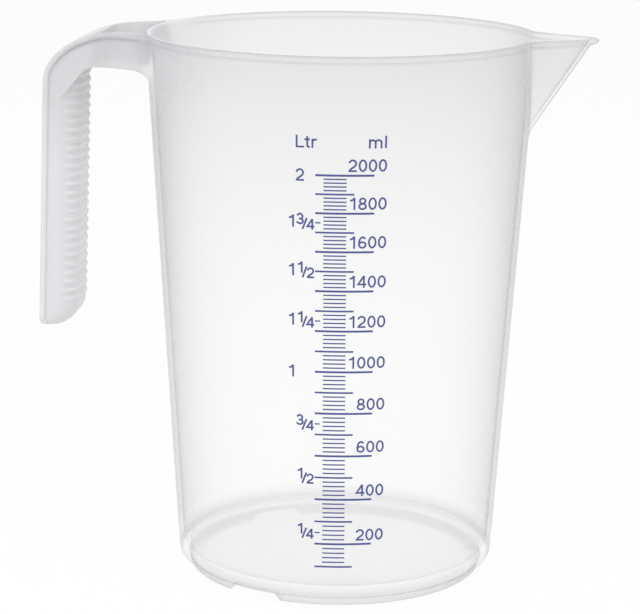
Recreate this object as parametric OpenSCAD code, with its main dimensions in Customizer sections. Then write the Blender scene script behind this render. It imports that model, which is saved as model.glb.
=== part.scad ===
// Measuring jug: a tapered translucent cup with a drawn-out spout, an open hook handle and a printed scale.
// Millimetres. The origin is on the cup's axis at the plane it stands on, spout along +X, handle along -X.

/* [Cup] */
// Height from the standing plane to the rim
jug_h = 206.3; // [185:0.1:240]
// Outside radius of the wall at the rim
rim_r = 73.4; // [68:0.1:80]
// Outside radius of the wall's cone, carried down to the standing plane
base_r = 60.5; // [55:0.1:64]
// Thickness of the wall
wall_t = 2.2; // [1.6:0.1:3]
// Thickness of the floor
floor_t = 2.2; // [1.6:0.1:3]
// Radius of the outside corner under the wall
corner_r = 4; // [2.5:0.1:4.5]
// Radius of the fillet between floor and wall inside
fillet_r = 3; // [1.5:0.1:5]

/* [Foot] */
// Height of the foot ring, from the standing plane to the floor's underside
foot_h = 5.5; // [4.5:0.1:8]
// Height of the corner's underside above the standing plane, which is also the depth of the drain notches
sole_z = 3; // [2:0.1:4]
// Ledge between the corner and the foot ring
foot_ledge = 0.5; // [0.2:0.1:1.5]
// Thickness of the foot ring
foot_t = 3.8; // [1.8:0.1:6]
// Number of drain notches
notch_count = 3; // [2:1:6]
// Width of a notch at the standing plane
notch_w = 23; // [14:0.1:32]
// Width of a notch at its roof
notch_roof_w = 18.6; // [10:0.1:23]
// Angle from the spout to the first notch
notch_turn = 3; // [-20:0.5:20]

/* [Rim and spout] */
// Height of the bead round the rim
bead_h = 2.3; // [1.6:0.1:4]
// How far the bead stands out from the wall
bead_out = 0.7; // [0.4:0.1:1.5]
// How far the spout's tip stands out from the wall at the rim, without the bead
spout_out = 21.2; // [12:0.1:30]
// Depth below the rim at which the spout's keel leaves the wall
keel_drop = 35.9; // [24:0.1:50]
// Angle from the spout's middle to where its side runs out into the wall, at the rim
spout_angle = 16.5; // [12:0.1:22]
// The same angle at the foot of the keel
keel_angle = 2.2; // [1:0.1:5]
// Level thickness of the wall along the keel
keel_t = 3.2; // [2.4:0.1:5]
// How much further the bead stands out at the tip, as a drip lip
lip_out = 1.3; // [0:0.1:3]

/* [Handle] */
// How far the outer face of the grip stands out from the rim, at the bend
grip_reach = 37.6; // [34:0.1:50]
// Depth of the grip from its outer to its inner face
grip_depth = 13.4; // [12:0.1:18]
// Width of the grip
grip_w = 30; // [24:0.1:36]
// Height of the handle, from the grip's lower end to the rim
handle_h = 113.7; // [90:0.1:140]
// Angle by which the grip leans outwards as it goes down
grip_lean = 1.65; // [0:0.05:4]
// Radius of the grip's rounded inner edges
grip_edge_r = 8.5; // [5:0.1:9.5]
// Radius of the toe, the inner corner at the grip's lower end
toe_r = 8; // [4:0.1:10]
// Radius of the heel, the outer corner at the grip's lower end
heel_r = 2; // [1:0.1:4]
// Length along the arm of the handle's outer bend
bend_run = 30; // [20:0.1:33]
// Height of the handle's outer bend
bend_rise = 20; // [15:0.1:30]
// Radius of the bend inside the handle
bend_inner_r = 5.5; // [3:0.1:9]
// Height of the arm from its underside to the rim
arm_t = 13.5; // [10:0.1:18]
// Radius in plan of the flare from the arm to the rim
flare_r = 46; // [25:0.5:60]
// Radius of the fillet between the arm's underside and the wall
root_r = 7.5; // [4:0.1:10]
// Thickness of the walls round the pocket in the arm's top
pocket_wall = 2.4; // [1.6:0.1:4]
// Length of the pocket, out from the wall at the rim
pocket_len = 16.1; // [10:0.1:19]
// Thickness of the pocket's floor
pocket_floor_t = 2.8; // [1.8:0.1:5]
// Slope of the seam between arm and grip
seam_angle = 51.5; // [35:0.5:60]

/* [Grip ridges] */
// Distance from one ridge to the next
ridge_pitch = 3.45; // [2.5:0.05:6]
// Width of a ridge
ridge_w = 1.8; // [1:0.1:2.3]
// Height of a ridge above the grip
ridge_out = 0.6; // [0.3:0.1:1.2]
// Distance from the toe's curve to the first ridge
ridge_start = 1.5; // [0.5:0.1:6]

/* [Printed scale] */
// Lowest volume with a line, in ml
scale_first = 100; // [100:100:400]
// Highest volume with a line, in ml
scale_last = 2000; // [1000:200:2200]
// Volume between two lines, in ml
scale_step = 20; // [10, 20, 50]
// Angle of the left ends of the long lines, from the spout
scale_angle = -91.2; // [-120:0.1:-60]
// Length of the lines at each 200 ml
long_len = 20.8; // [15:0.1:30]
// Height of the lines at each 200 ml
long_h = 0.75; // [0.4:0.05:1.2]
// Length of the lines at each odd 100 ml
mid_len = 13.8; // [10:0.1:20]
// Height of the lines at each odd 100 ml
mid_h = 0.65; // [0.4:0.05:1]
// Length of the lines at each 20 ml
minor_len = 8.1; // [5:0.1:12]
// Height of the lines at each 20 ml
minor_h = 0.5; // [0.3:0.05:0.8]
// Distance from the left end of the long lines to that of the short ones
minor_inset = 2.9; // [2.4:0.1:6]
// Length of the ticks at odd quarter litres
quarter_len = 1.9; // [1:0.1:2.2]
// How far the lines at odd half litres run on to the left
half_run = 1.5; // [0.5:0.1:4]
// Thickness of the ink
ink_t = 0.1; // [0.05:0.01:0.2]

/* [Hidden] */
$fn = 96;
plastic = [0.9, 0.9, 0.94];
ink = [0.2, 0.27, 0.66];
// How far cuts run past the faces that they open
overrun = 5;
// Facets in a quarter turn of a drawn outline, and in the whole of the bead's half round
quarter_steps = 8;

// The wall's cone: how fast its radius grows with height, and how much longer a slant is than its rise
cone_slope = (rim_r - base_r) / jug_h;
slant = sqrt(1 + pow(cone_slope, 2));
slope_angle = atan(cone_slope);
function cone_r(z) = base_r + cone_slope * z;

// Height of the inside floor
floor_z = foot_h + floor_t;
// Centres of the corner outside and of the fillet inside, each touching its plane and its cone
corner_z = sole_z + corner_r;
corner_x = cone_r(corner_z) - corner_r * slant;
fillet_z = floor_z + fillet_r;
fillet_x = cone_r(fillet_z) - wall_t - fillet_r * slant;
foot_r = corner_x - foot_ledge;

// The spout's side in plan: straight, rounded at the tip and run out into the wall, as shares of its angle
tip_share = 0.3;
run_out_share = 0.6;
side_rise = 1 / (1 - run_out_share / 2 - tip_share / 2);
keel_z = jug_h - keel_drop;
// Least width of the inside of the spout, as a share of its outside
inside_least_share = 0.5;
// Angle past the spout's sides at which it joins the wall
spout_margin = 1.5;
spout_half = spout_angle + spout_margin;
// Columns across half the spout, and rows up its wall
spout_cols = 16;
spout_rows = 12;
// Share of the columns that lie on the spout's side, and share that the drip lip takes
side_cols_share = 0.75;
lip_share = 0.3;

// The handle's reach from the axis, its bend and the lines of the leaning grip
grip_out = rim_r + grip_reach;
grip_z = jug_h - handle_h;
bend_x = bend_run - grip_out;
bend_z = jug_h - bend_rise;
arm_under = jug_h - arm_t;
lean_run = tan(grip_lean);
grip_len = (bend_z - grip_z) / cos(grip_lean);
function outer_x(z) = -grip_out - lean_run * (bend_z - z);
function inner_x(z) = outer_x(z) + grip_depth / cos(grip_lean);
// How near the axis the arm's shapes start, and how wide its side view is, before cup and plan trim them
arm_in = rim_r / 2;
arm_span = 2 * rim_r;
// Radius inside the wall that the arm's flare touches, so that its ends stay blunt
flare_touch_r = rim_r - wall_t;
// Angle round the fillet under the arm at which it meets the wall, short of 180 so that its edge stays blunt
root_end_angle = 155;
// Height of the seam on the grip's inner face, down from the arm as a share of the inner bend's radius
seam_drop_share = 0.7;
seam_z = arm_under - bend_inner_r * seam_drop_share;
seam_x = inner_x(seam_z);

ridge_first = toe_r + ridge_start;
ridge_last = floor((grip_len - ridge_first) / ridge_pitch);

// Height that no printed line passes
scale_top = jug_h - bead_h - long_h;
// One ml in cubic millimetres, and the volumes in ml at which each kind of line repeats
ml = 1000;
long_step = 200;
mid_step = 100;
half_step = 500;

function oval(x, y, rx, ry, from, to) =
    let (steps = max(2, ceil(abs(to - from) / 90 * quarter_steps)))
    [for (i = [0 : steps]) let (a = from + (to - from) * i / steps) [x + rx * cos(a), y + ry * sin(a)]];

function arc(x, y, r, from, to) = oval(x, y, r, r, from, to);

function mirrored(points) = [for (i = [len(points) - 1 : -1 : 0]) [points[i][0], -points[i][1]]];

// The bead's half-round section, as [out, along]
half_round = [for (i = [0 : quarter_steps]) let (a = -90 + 180 * i / quarter_steps)
    [bead_out * cos(a), bead_h / 2 * (1 + sin(a))]];

// How far the spout's side stands out at a share of its angle: 1 in the middle and 0 where it runs out
function side_out(s) =
    s >= 1 ? 0
    : s > 1 - run_out_share ? side_rise * pow(1 - s, 2) / (2 * run_out_share)
    : s > tip_share ? side_rise * (1 - run_out_share / 2 - s)
    : 1 - side_rise * pow(s, 2) / (2 * tip_share);

// The spout in plan, at a column from -1 to 1 and a height, outside or inside
function keel_share(z) = (z - keel_z) / keel_drop;
function column_angle(u, side_angle) =
    let (past = (abs(u) - side_cols_share) / (1 - side_cols_share))
    sign(u) * (past <= 0 ? side_angle * abs(u) / side_cols_share
                         : side_angle + (spout_half - side_angle) * past);
function spout_plan(u, z, inside) =
    let (side_angle = keel_angle + (spout_angle - keel_angle) * keel_share(z),
         a = column_angle(u, side_angle),
         out = spout_out * keel_share(z),
         reach = inside ? max(0, out - keel_t + wall_t) : out,
         fit = inside && out > 0 ? max(reach / out, inside_least_share) : 1,
         r = cone_r(z) - (inside ? wall_t : 0) + reach * side_out(abs(a) / (side_angle * fit)))
    [r * cos(a), r * sin(a)];

// A point on the spout, moved square to its side for the bead, which grows into the lip at the tip
function lip_growth(u) = 1 + lip_out / bead_out * max(0, 1 - abs(u) / lip_share);
function spout_point(u, z, inside, bead) =
    let (p = spout_plan(u, z, inside),
         out = bead * lip_growth(u),
         run = spout_plan(min(1, u + 1 / spout_cols), z, inside)
             - spout_plan(max(-1, u - 1 / spout_cols), z, inside),
         away = abs(u) == 1 ? p / norm(p) : [run[1], -run[0]] / norm(run))
    [p[0] + out * away[0], p[1] + out * away[1], z];

// Height of a volume in the cup, from the volume of a cone cut off at the floor
function level(v) =
    let (r = cone_r(floor_z) - wall_t)
    (pow(pow(r, 3) + 3 * cone_slope * v * ml / PI, 1 / 3) - base_r + wall_t) / cone_slope;

// The volumes that have lines and lie under the rim
function volumes(first, step) = [for (v = [first : step : scale_last]) if (level(v) < scale_top) v];

// What the spout takes the place of in the wall and the bead
module spout_sector() {
    rotate([0, 0, -spout_half])
        translate([0, 0, keel_z])
            rotate_extrude(angle = 2 * spout_half)
                translate([base_r - wall_t - overrun, 0])
                    square([rim_r - base_r + wall_t + 2 * overrun, keel_drop + overrun]);
}

// The cup as a solid, without its bead, for shaping what meets it from outside
module cup_outside() {
    cylinder(h = jug_h + overrun, r1 = base_r, r2 = cone_r(jug_h + overrun));
}

// A side view, with x and z as its axes, drawn out across the handle
module across(width) {
    rotate([90, 0, 0])
        linear_extrude(height = width, center = true)
            children();
}

// The arm in plan, grown or shrunk by a distance
module arm_plan(grow) {
    flare_y = grip_w / 2 + flare_r;
    flare_x = sqrt(pow(flare_touch_r + flare_r, 2) - pow(flare_y, 2));
    side = arc(-flare_x, flare_y, flare_r - grow, -90, -atan2(flare_y, flare_x));
    end = [-grip_out - overrun, grip_w / 2 + grow];
    polygon(concat([end], side, mirrored(side), [[end[0], -end[1]]]));
}

// The handle's side view, down to the grip's lower end
module hook_side() {
    inner_bend_z = arm_under - bend_inner_r;
    polygon(concat(
        [[-arm_in, jug_h]],
        oval(bend_x, bend_z, bend_run, bend_rise, 90, 180),
        [[outer_x(grip_z), grip_z], [inner_x(grip_z), grip_z]],
        arc(inner_x(inner_bend_z) + bend_inner_r, inner_bend_z, bend_inner_r, 180, 90),
        [[-arm_in, arm_under]]));
}

// The fillet under the arm, which follows the wall round
module arm_root() {
    root_z = arm_under - root_r;
    foot_z = root_z + root_r * sin(root_end_angle);
    root_x = cone_r(foot_z) - root_r * cos(root_end_angle);
    intersection() {
        rotate_extrude()
            polygon(concat(
                arc(root_x, root_z, root_r, root_end_angle, 90),
                [[root_x, arm_under + root_r], [arm_in, arm_under + root_r], [arm_in, foot_z]]));
        linear_extrude(height = jug_h) arm_plan(0);
    }
}

// The band along the hook's top and outer edge that carries the bead
module bead_band() {
    polygon(concat(
        [[-arm_in, jug_h - bead_h], [-arm_in, jug_h]],
        oval(bend_x, bend_z, bend_run, bend_rise, 90, 180),
        [[outer_x(grip_z), grip_z], [outer_x(grip_z) + bead_h, grip_z]],
        oval(bend_x, bend_z, bend_run - bead_h, bend_rise - bead_h, 180, 90)));
}

// The two sides of the seam, as side views that run past the handle
module below_seam() {
    translate([seam_x, seam_z])
        rotate(seam_angle)
            translate([-grip_out, -grip_out])
                square([grip_out, grip_out]);
}

module above_seam() {
    translate([seam_x, seam_z])
        rotate(seam_angle)
            translate([-grip_out, 0])
                square([2 * grip_out, grip_out]);
}

// The grip stands in its own frame: x from its outer to its inner face, z up along it from its lower end
module grip_frame() {
    translate([-grip_out, 0, bend_z])
        rotate([0, grip_lean, 0])
            translate([0, 0, -grip_len])
                children();
}

module grip_section() {
    rail = [for (p = half_round) [p[1], grip_w / 2 + p[0]]];
    edge = arc(grip_depth - grip_edge_r, grip_w / 2 - grip_edge_r, grip_edge_r, 90, 0);
    side = concat(rail, edge);
    polygon(concat(side, mirrored(side)));
}

// A ridge in section: it rises from nothing at the grip's sides to its full height on the inner face
module ridge_section() {
    cx = grip_depth - grip_edge_r;
    cy = grip_w / 2 - grip_edge_r;
    under = arc(cx, cy, grip_edge_r, 90, 0);
    over = [for (i = [0 : len(under) - 1]) let (a = 90 - 90 * i / (len(under) - 1),
                                               r = grip_edge_r + ridge_out * cos(a))
        [cx + r * cos(a), cy + r * sin(a)]];
    shared = concat(over, mirrored(over));
    seat = concat(under, mirrored(under));
    polygon(concat(shared, [for (i = [len(seat) - 2 : -1 : 1]) seat[i]]));
}

// A printed line: a film on the wall at a volume's height, from a distance past the scale's left ends
module scale_line(v, inset, length, height) {
    z = level(v);
    low = z - height / 2;
    high = z + height / 2;
    turn = 180 / PI / cone_r(z);
    rotate([0, 0, scale_angle + inset * turn])
        rotate_extrude(angle = length * turn)
            polygon([[cone_r(low), low], [cone_r(low) + ink_t, low],
                     [cone_r(high) + ink_t, high], [cone_r(high), high]]);
}

module jug_wall() {
    color(plastic)
        difference() {
            rotate_extrude()
                polygon(concat(
                    [[rim_r, jug_h]],
                    arc(corner_x, corner_z, corner_r, -slope_angle, -90),
                    [[foot_r, sole_z], [foot_r, foot_h], [fillet_x, foot_h]],
                    arc(fillet_x, fillet_z, fillet_r, -90, -slope_angle),
                    [[rim_r - wall_t, jug_h]]));
            spout_sector();
        }
}

module jug_floor() {
    color(plastic)
        translate([0, 0, foot_h])
            cylinder(h = floor_t, r = fillet_x);
}

module foot_ring() {
    color(plastic)
        difference() {
            rotate_extrude()
                translate([foot_r - foot_t, 0])
                    square([foot_t, foot_h]);
            for (i = [0 : notch_count - 1])
                rotate([0, 0, notch_turn + 360 * i / notch_count])
                    translate([foot_r / 2, 0, 0])
                        rotate([90, 0, 90])
                            linear_extrude(height = foot_r)
                                polygon([[-notch_w / 2, 0], [notch_w / 2, 0],
                                         [notch_roof_w / 2, sole_z], [-notch_roof_w / 2, sole_z]]);
        }
}

module rim_bead() {
    color(plastic)
        difference() {
            rotate_extrude()
                polygon([for (p = half_round) let (z = jug_h - bead_h + p[1])
                    [cone_r(z) + p[0], z]]);
            spout_sector();
            translate([0, 0, jug_h - bead_h - overrun])
                linear_extrude(height = bead_h + 2 * overrun)
                    arm_plan(bead_out);
        }
}

// The spout is one sheet, closed round its bead: rows run up the outside, over the rim and down the inside
module spout() {
    shoulder_z = jug_h - bead_h;
    outside = concat(
        [for (i = [0 : spout_rows - 1]) [keel_z + (shoulder_z - keel_z) * i / spout_rows, false, 0]],
        [for (p = half_round) [shoulder_z + p[1], false, p[0]]]);
    top = len(outside) - 1;
    rows = concat(outside, [for (j = [top : -1 : 0]) [outside[j][0], true, 0]]);
    row_len = 2 * spout_cols + 1;
    count = len(rows);
    points = [for (row = rows) for (i = [-spout_cols : spout_cols])
        spout_point(i / spout_cols, row[0], row[1], row[2])];
    sheet = [for (j = [0 : count - 1]) for (i = [0 : row_len - 2])
        let (a = j * row_len + i, b = (j + 1) % count * row_len + i)
        each [[a, b, b + 1], [a, b + 1, a + 1]]];
    ends = [for (j = [0 : top - 1])
        let (a = j * row_len, b = (count - 1 - j) * row_len, far = row_len - 1)
        each [[b, b - row_len, a + row_len, a],
              [a + far, a + row_len + far, b - row_len + far, b + far]]];
    color(plastic)
        polyhedron(points = points, faces = concat(sheet, ends));
}

module handle_arm() {
    color(plastic)
        difference() {
            union() {
                intersection() {
                    across(arm_span) hook_side();
                    linear_extrude(height = jug_h + overrun) arm_plan(0);
                }
                intersection() {
                    across(arm_span) bead_band();
                    linear_extrude(height = jug_h + overrun) arm_plan(bead_out);
                }
                arm_root();
            }
            across(arm_span + overrun) below_seam();
            cup_outside();
            intersection() {
                translate([0, 0, arm_under + pocket_floor_t])
                    linear_extrude(height = arm_t)
                        arm_plan(-pocket_wall);
                translate([-rim_r - pocket_len, -arm_span / 2, arm_under])
                    cube([pocket_len + rim_r, arm_span, arm_t + overrun]);
            }
        }
}

module handle_grip() {
    color(plastic)
        difference() {
            grip_frame()
                difference() {
                    linear_extrude(height = grip_len + bend_rise) grip_section();
                    across(grip_w + 2 * overrun)
                        difference() {
                            translate([grip_depth - toe_r, -overrun])
                                square(toe_r + overrun);
                            translate([grip_depth - toe_r, toe_r])
                                circle(toe_r);
                        }
                    across(grip_w + 2 * overrun)
                        difference() {
                            translate([-overrun, -overrun])
                                square(heel_r + overrun);
                            translate([heel_r, heel_r])
                                circle(heel_r);
                        }
                }
            across(grip_w + 2 * overrun) above_seam();
        }
}

module grip_ridges() {
    color(plastic)
        difference() {
            grip_frame()
                for (i = [0 : ridge_last])
                    translate([0, 0, ridge_first + i * ridge_pitch])
                        linear_extrude(height = ridge_w)
                            ridge_section();
            across(grip_w + 2 * overrun) above_seam();
        }
}

module scale_200ml_lines() {
    color(ink)
        for (v = volumes(scale_first, scale_step))
            if (v % long_step == 0)
                scale_line(v, 0, long_len, long_h);
}

module scale_100ml_lines() {
    color(ink)
        for (v = volumes(scale_first, scale_step))
            if (v % mid_step == 0 && v % long_step != 0)
                let (run = v % half_step == 0 ? half_run : 0)
                scale_line(v, -run, mid_len + run, mid_h);
}

module scale_20ml_lines() {
    color(ink)
        for (v = volumes(scale_first, scale_step))
            if (v % mid_step != 0)
                scale_line(v, minor_inset, minor_len, minor_h);
}

module scale_quarter_litre_ticks() {
    color(ink)
        for (v = volumes(half_step / 2, half_step))
            scale_line(v, 0, quarter_len, minor_h);
}

jug_wall();
jug_floor();
foot_ring();
rim_bead();
spout();
handle_arm();
handle_grip();
grip_ridges();
scale_200ml_lines();
scale_100ml_lines();
scale_20ml_lines();
scale_quarter_litre_ticks();
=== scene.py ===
"""The looks of a translucent measuring jug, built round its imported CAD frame.

Laid out as an add-on and run as a script. Lengths are in metres, in the frame of the CAD model: the jug
stands on z = 0 with its axis at the origin, the spout along +X and the handle along -X.
"""

import math
from contextlib import contextmanager

import bmesh
import bpy
import numpy as np
from bpy.props import FloatProperty, FloatVectorProperty, IntProperty, PointerProperty
from mathutils import Matrix, Vector
from mathutils.geometry import delaunay_2d_cdt


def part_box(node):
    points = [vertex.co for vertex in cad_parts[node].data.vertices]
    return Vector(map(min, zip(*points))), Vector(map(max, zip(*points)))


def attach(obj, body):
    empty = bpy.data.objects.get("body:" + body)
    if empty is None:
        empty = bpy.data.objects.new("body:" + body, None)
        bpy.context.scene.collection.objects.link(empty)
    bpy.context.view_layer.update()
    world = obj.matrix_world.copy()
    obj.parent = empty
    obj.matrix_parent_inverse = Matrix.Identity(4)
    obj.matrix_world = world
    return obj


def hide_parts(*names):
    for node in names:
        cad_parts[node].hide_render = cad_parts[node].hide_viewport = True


bl_info = {
    "name": "Measuring jug",
    "version": (1, 0, 0),
    "blender": (4, 5, 0),
    "location": "View3D > Sidebar > Jug",
    "description": "Builds a translucent measuring jug with its printed scale and a plain studio",
    "category": "Object",
}

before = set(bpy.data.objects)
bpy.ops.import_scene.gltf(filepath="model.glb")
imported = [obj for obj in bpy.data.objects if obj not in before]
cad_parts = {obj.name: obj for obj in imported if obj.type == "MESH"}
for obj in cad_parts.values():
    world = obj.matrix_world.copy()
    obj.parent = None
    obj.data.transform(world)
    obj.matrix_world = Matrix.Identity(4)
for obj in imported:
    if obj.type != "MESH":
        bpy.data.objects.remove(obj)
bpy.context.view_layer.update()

MM = 0.001
MILLILITRE = 1e-6
SAME_PLACE = MM / 1000
BODY = "root"
MOULDED_NODES = (
    "jug_wall", "jug_floor", "foot_ring", "rim_bead", "spout", "handle_arm", "handle_grip", "grip_ridges",
)
PRINTED_NODES = ("scale_200ml_lines", "scale_20ml_lines", "scale_quarter_litre_ticks")

# The scale, in millilitres: its top, the volumes between numbers, and a quarter of a litre.
FULL = 2000
NUMBER_STEP = 200
QUARTER = 250

# The studio.
LAMPS = {"left_lamp": (-0.9, -0.7, 1.5), "right_lamp": (0.9, -0.7, 1.5)}
LAMP_AIM = (0, 0, 0.1)
FLOOR_SIDES = 96
SENSOR_WIDTH = 36

# How fine the unevenness of each finish is, and how much it changes.
CLOUD = {"Scale": 22, "Detail": 3}
GRAIN = {"Scale": 900, "Detail": 2}
GRAIN_BUMP = {"Strength": 0.05, "Distance": 0.2 * MM}
MOTTLE = {"Scale": 60, "Detail": 4}
PATCH = {"Scale": 700, "Detail": 3}
CLOUD_ROUGHNESS = 0.08
CLOUD_HAZE = 0.01
MOTTLE_TONE = 0.2

# The wall's haze. A pair is where a change starts and ends: how far edge on for the outer band and the inner
# line, in shares of the jug's height for the clear corner over the foot.
BAND_EDGE = (0.7, 0.8)
LINE_EDGE = (0.8, 0.98)
CORNER_HEIGHT = (0.035, 0.075)
CORNER_LEAST = 0.05
FOOT_LEAST = 0.45
# Painted shade: the edge haze grows with height and the whole haze rises near the rim, so the wall darkens
# towards the top.
EDGE_AT_FOOT = 0.6
EDGE_SHADE_GROWTH = 0.5
# How much the painted light on the cup's inside in front of the arm clears the edge haze there.
PAINTED_LIGHT_CLEARS = 0.5
TOP_SHADE_POWER = 4
EDGE_POWER = 3
KEEL_POWER = 2

# The handle's haze: the heights between which the grip's tone turns to the arm's darker tone, which is
# painted shade, and how far before and past the pocket's end the arm turns solid.
ARM_HEIGHT = (0.72, 0.93)
POCKET_FADE = (-4 * MM, 6 * MM)
THIN_CLEARS = 0.6
MILKY_DEPTH = {"Subsurface Weight": 0.6, "Subsurface Radius": (1, 1, 1), "Subsurface Scale": 2.5 * MM}
PLASTIC_IOR = 1.49

# The ink: how pale its thin patches are, and its roughness.
INK_PALE = 0.06
INK_ROUGHNESS = 0.45
PATCH_ROUGHNESS = 0.1


def length(name, description, default):
    """A length property. Its default is written in millimetres and kept in metres."""
    return FloatProperty(
        name=name, description=description, default=default * MM, precision=5, subtype="DISTANCE",
        unit="LENGTH",
    )


def angle(name, description, default):
    """An angle property. Its default is written in degrees."""
    return FloatProperty(
        name=name, description=description, default=math.radians(default), subtype="ANGLE", unit="ROTATION"
    )


def share(name, description, default):
    """A property from 0 to 1."""
    return FloatProperty(name=name, description=description, default=default, min=0, max=1, subtype="FACTOR")


def colour(name, description, default):
    """A colour property, in linear light."""
    return FloatVectorProperty(
        name=name, description=description, default=default, size=3, min=0, max=1, subtype="COLOR"
    )


class CupSizes(bpy.types.PropertyGroup):
    """Cup, rim and foot"""

    height: length("Height", "From the standing plane to the rim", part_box("jug_wall")[1].z / MM)
    rim_radius: length("Rim radius", "Outside radius of the wall at the rim", 73.4)
    base_radius: length("Base radius", "Outside radius of the wall's cone at the standing plane", 60.5)
    wall: length("Wall", "Thickness of the wall", 2.0)
    floor: length("Floor", "Thickness of the floor", 2.2)
    corner_radius: length("Corner radius", "Outside corner under the wall", 4.0)
    fillet_radius: length("Fillet radius", "Fillet between floor and wall inside", 3.0)
    bead_height: length("Bead height", "Height of the bead round the rim", 2.3)
    bead_out: length("Bead out", "How far the bead stands out from the wall", 0.7)
    rim_edge: length("Rim edge", "Radius of the rim's inner edge", 0.6)
    foot_height: length(
        "Foot height", "From the standing plane to the floor's underside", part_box("foot_ring")[1].z / MM
    )
    sole: length("Sole", "Height of the corner's underside above the standing plane", 3.0)
    foot_ledge: length("Foot ledge", "Ledge between the corner and the foot ring", 0.5)
    foot_wall: length("Foot wall", "Thickness of the foot ring", 3.8)
    foot_edge: length("Foot edge", "Radius of the foot ring's lower edges", 0.5)
    notches: IntProperty(name="Notches", description="Number of drain notches", default=3, min=2, max=6)
    notch_width: length("Notch width", "Width of a notch at the standing plane", 23.0)
    notch_roof: length("Notch roof", "Width of a notch at its roof", 18.6)
    notch_turn: angle("Notch turn", "Angle from the spout to the first notch", 3.0)
    notch_step: length("Notch step", "Step left between a notch's roof and the sole", 0.15)


class SpoutSizes(bpy.types.PropertyGroup):
    """Pouring spout"""

    out: length("Out", "How far the tip stands out from the wall at the rim, without the bead", 21.2)
    keel_drop: length("Keel drop", "Depth below the rim at which the keel leaves the wall", 35.9)
    keel_blend: length("Keel blend", "Height over which the keel bends out of the wall, each way", 3.0)
    side_angle: angle("Side angle", "From the middle to where a side runs into the wall, at the rim", 16.5)
    keel_angle: angle("Keel angle", "The same angle at the foot of the keel", 2.2)
    margin: angle("Margin", "Angle of plain wall kept beside the spout", 1.5)
    keel_wall: length("Keel wall", "Level thickness of the wall along the keel", 1.7)
    side_wall: length("Side wall", "How far a side's inside falls short of its outside, towards the tip", 1.2)
    lip_out: length("Lip out", "How much further the bead stands out at the tip", 1.3)
    lip_share: share("Lip share", "Share of the side that the drip lip takes", 0.4)
    tip_share: share("Tip share", "Share of the side that the rounded tip takes", 0.3)
    run_out_share: share("Run-out share", "Share of the side that runs out into the wall", 0.6)
    inside_least: share("Least inside", "Least width of the inside, as a share of the outside", 0.5)


class HandleSizes(bpy.types.PropertyGroup):
    """Hook handle"""

    reach: length("Reach", "How far the outer face of the grip stands out from the rim, at the bend", 37.6)
    depth: length("Depth", "Depth of the grip from its outer to its inner face", 13.4)
    width: length("Width", "Width of the grip", 30.0)
    height: length("Height", "From the grip's lower end to the rim", 113.7)
    lean: angle("Lean", "How the grip leans outwards as it goes down", 1.65)
    edge_radius: length("Edge radius", "Rounded inner edges of the grip", 8.5)
    arm_edge: length("Arm edge", "Radius of the arm's lower edges", 1.0)
    toe_radius: length("Toe radius", "Inner corner at the grip's lower end", 8.0)
    heel_radius: length("Heel radius", "Outer corner at the grip's lower end", 2.0)
    end_radius: length("End radius", "Side edges at the grip's lower end", 3.5)
    bend_run: length("Bend run", "Length along the arm of the outer bend", 30.0)
    bend_rise: length("Bend rise", "Height of the outer bend", 20.0)
    inner_bend: length("Inner bend", "Radius of the bend inside the handle", 5.5)
    arm_height: length("Arm height", "From the arm's underside to the rim", 13.5)
    flare_radius: length("Flare radius", "Radius in plan of the flare from the arm to the rim", 46.0)
    root_radius: length("Root radius", "Fillet between the arm's underside and the wall", 7.5)
    root_end: angle("Root end", "Angle round that fillet at which it meets the wall", 155.0)
    pocket_wall: length("Pocket wall", "Thickness of the walls round the pocket in the arm's top", 2.4)
    pocket_length: length("Pocket length", "Length of the pocket, out from the wall at the rim", 16.1)
    pocket_floor: length("Pocket floor", "Thickness of the pocket's floor", 2.8)
    seam_angle: angle("Seam angle", "Slope of the crease between arm and grip", 51.5)
    seam_drop: length("Seam drop", "Height of the crease on the inner face, down from the arm", 3.85)
    ridge_pitch: length("Ridge pitch", "Distance from one ridge to the next", 3.45)
    ridge_width: length("Ridge width", "Width of a ridge", 1.8)
    ridge_out: length("Ridge out", "Height of a ridge above the grip", 0.6)
    ridge_start: length("Ridge start", "Distance from the toe's curve to the first ridge", 1.5)


class ScaleSizes(bpy.types.PropertyGroup):
    """Printed scale. Distances along the wall are measured from the left ends of its lines"""

    angle: angle("Angle", "Angle from the spout to the left ends of the scale's lines", -91.2)
    middle_length: length("Middle length", "Length of the lines at each odd 100 ml", 13.8)
    middle_height: length("Middle height", "Height of the lines at each odd 100 ml", 0.65)
    digit_height: length("Digit height", "Height of the numbers and unit signs", 4.5)
    upper_height: length("Upper height", "Height of a fraction's upper digit", 4.15)
    lower_height: length("Lower height", "Height of a fraction's lower digit", 3.9)
    stroke: length("Stroke", "Width of a printed stroke", 0.67)
    film: length("Film", "Thickness of the ink", 0.1)
    reckoned_wall: length("Reckoned wall", "Thickness of the wall that the volumes are reckoned with", 2.2)
    volume_right: length("Volume right", "Right end of the volume numbers", 25.3)
    volume_lift: length("Volume lift", "Foot of a volume number above its line", 1.35)
    litre_left: length("Litre left", "Start of the litre numbers", -10.4)
    fraction_left: length("Fraction left", "Start of the fractions", -7.05)
    sign_left: length("Sign left", "Start of the litre sign", -7.0)
    sign_right: length("Sign right", "Right end of the millilitre sign", 25.15)
    sign_foot: length("Sign foot", "Height of the unit signs above the standing plane", 174.1)


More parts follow.
